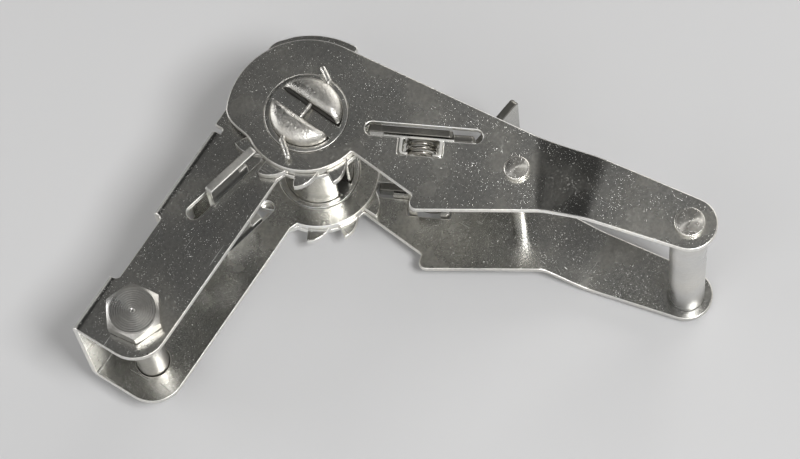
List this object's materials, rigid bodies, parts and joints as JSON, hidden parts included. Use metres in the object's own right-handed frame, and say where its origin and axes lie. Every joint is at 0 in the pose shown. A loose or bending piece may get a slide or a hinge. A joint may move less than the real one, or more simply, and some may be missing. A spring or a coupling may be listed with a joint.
{
  "type": "ratchet webbing tensioner",
  "caption": "Stainless ratchet buckle for webbing: folded base with anchor bolt, toothed wheels on a split spindle, sliding lock pawl, and a joggled handle with drive pawl and tube grip.",
  "frame": {"origin": "on the outer face of the base web, midway between the two side plates, 28 mm behind the spindle axis and 18.4 mm above it", "axes": "+Z along the spindle towards the bolt head, the base frame runs along -X from the spindle to the anchor bolt, +Y out of the base web"},
  "size_m": [0.1041, 0.1186, 0.0532],
  "materials": {
    "plate": "rolled stainless sheet, tumbled, mirror-like with fine scratches",
    "bright": "bright tumbled stainless",
    "turned": "turned stainless hexagon with fine rings",
    "spring": "drawn spring steel wire"
  },
  "bodies": {
    "base": {"base_frame": "plate", "anchor_bolt": "turned", "anchor_nut": "turned", "anchor_spring_washer": "spring", "lock_spring_seat": "plate", "lock_spring": "spring"},
    "handle": {"handle_plate_left": "plate", "handle_plate_right": "plate", "cross_rod": "bright", "grip_tube": "bright", "grip_rivet": "bright", "drive_pawl_guide": "bright", "drive_return_spring": "spring", "guide_spring_left": "spring", "guide_spring_right": "spring"},
    "spindle": {"ratchet_wheel_left": "bright", "ratchet_wheel_right": "bright", "spindle_half_a": "bright", "spindle_half_b": "bright", "split_pin_left": "bright", "split_pin_right": "bright"},
    "drive_pawl": {"drive_pawl": "plate"},
    "lock_pawl": {"lock_pawl": "bright"}
  },
  "joints": [
    {"name": "handle_swing", "type": "hinge", "parent": "base", "child": "handle", "pos_m": [0.028, -0.0184, 0], "axis": [0, 0, 1], "range_deg": [-92, 85]},
    {"name": "spindle_turn", "type": "hinge", "parent": "handle", "child": "spindle", "pos_m": [0.028, -0.0184, 0], "axis": [0, 0, 1], "continuous": true},
    {"name": "drive_pawl_slide", "type": "slide", "parent": "handle", "child": "drive_pawl", "axis": [0.447, -0.8945, 0], "range_m": [0, 0.0065], "deforming": ["drive_return_spring"]},
    {"name": "lock_pawl_slide", "type": "slide", "parent": "base", "child": "lock_pawl", "axis": [-0.9748, 0.2233, 0], "range_m": [-0.0015, 0.003], "deforming": ["lock_spring"]}
  ]
}
